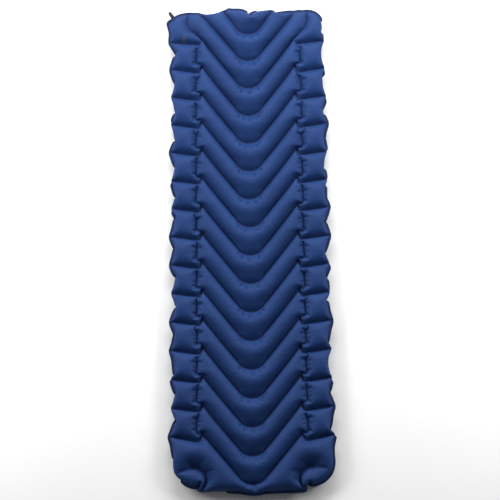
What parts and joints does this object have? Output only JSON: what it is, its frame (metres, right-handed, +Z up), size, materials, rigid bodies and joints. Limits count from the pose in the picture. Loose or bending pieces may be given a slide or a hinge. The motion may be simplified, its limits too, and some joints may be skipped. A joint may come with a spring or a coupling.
{
  "type": "inflatable sleeping pad",
  "caption": "Long air-filled sleeping pad with V shaped chambers between side bolsters, welded from two fabric sheets, with a twist valve in one head corner.",
  "frame": {"origin": "middle of the pad's footprint, on the floor it lies on", "axes": "+X across the pad, +Y towards the head end with the valve, +Z up"},
  "size_m": [0.5879, 1.83, 0.064],
  "materials": {
    "sheet_fabric": "matt woven polyester, coated inside",
    "print": "matt heat transfer print",
    "soft_base": "satin soft polyurethane",
    "barrel_plastic": "satin moulded plastic",
    "core_plastic": "satin moulded plastic",
    "seal_rubber": "matt nitrile rubber",
    "nozzle_plastic": "fine-textured moulded plastic"
  },
  "bodies": {
    "pad": {"top_sheet": "sheet_fabric", "bottom_sheet": "sheet_fabric", "printed_mark": "print", "valve_base": "soft_base", "valve_barrel": "barrel_plastic", "valve_core": "core_plastic", "plug_seal": "seal_rubber"},
    "seal_ring": {"nozzle_seal": "seal_rubber"},
    "cap": {"nozzle": "nozzle_plastic"}
  },
  "joints": [
    {"name": "nozzle_lift", "type": "slide", "parent": "pad", "child": "seal_ring", "axis": [-0.5299, 0.848, 0], "range_m": [0, 0.005]},
    {"name": "nozzle_turn", "type": "hinge", "parent": "seal_ring", "child": "cap", "pos_m": [-0.27326, 0.87626, 0.032], "axis": [-0.5299, 0.848, 0], "range_deg": [0, 150]}
  ],
  "couplings": [
    {"joint": "nozzle_lift", "follows": "nozzle_turn", "m_per_rad": 0.0019099}
  ]
}
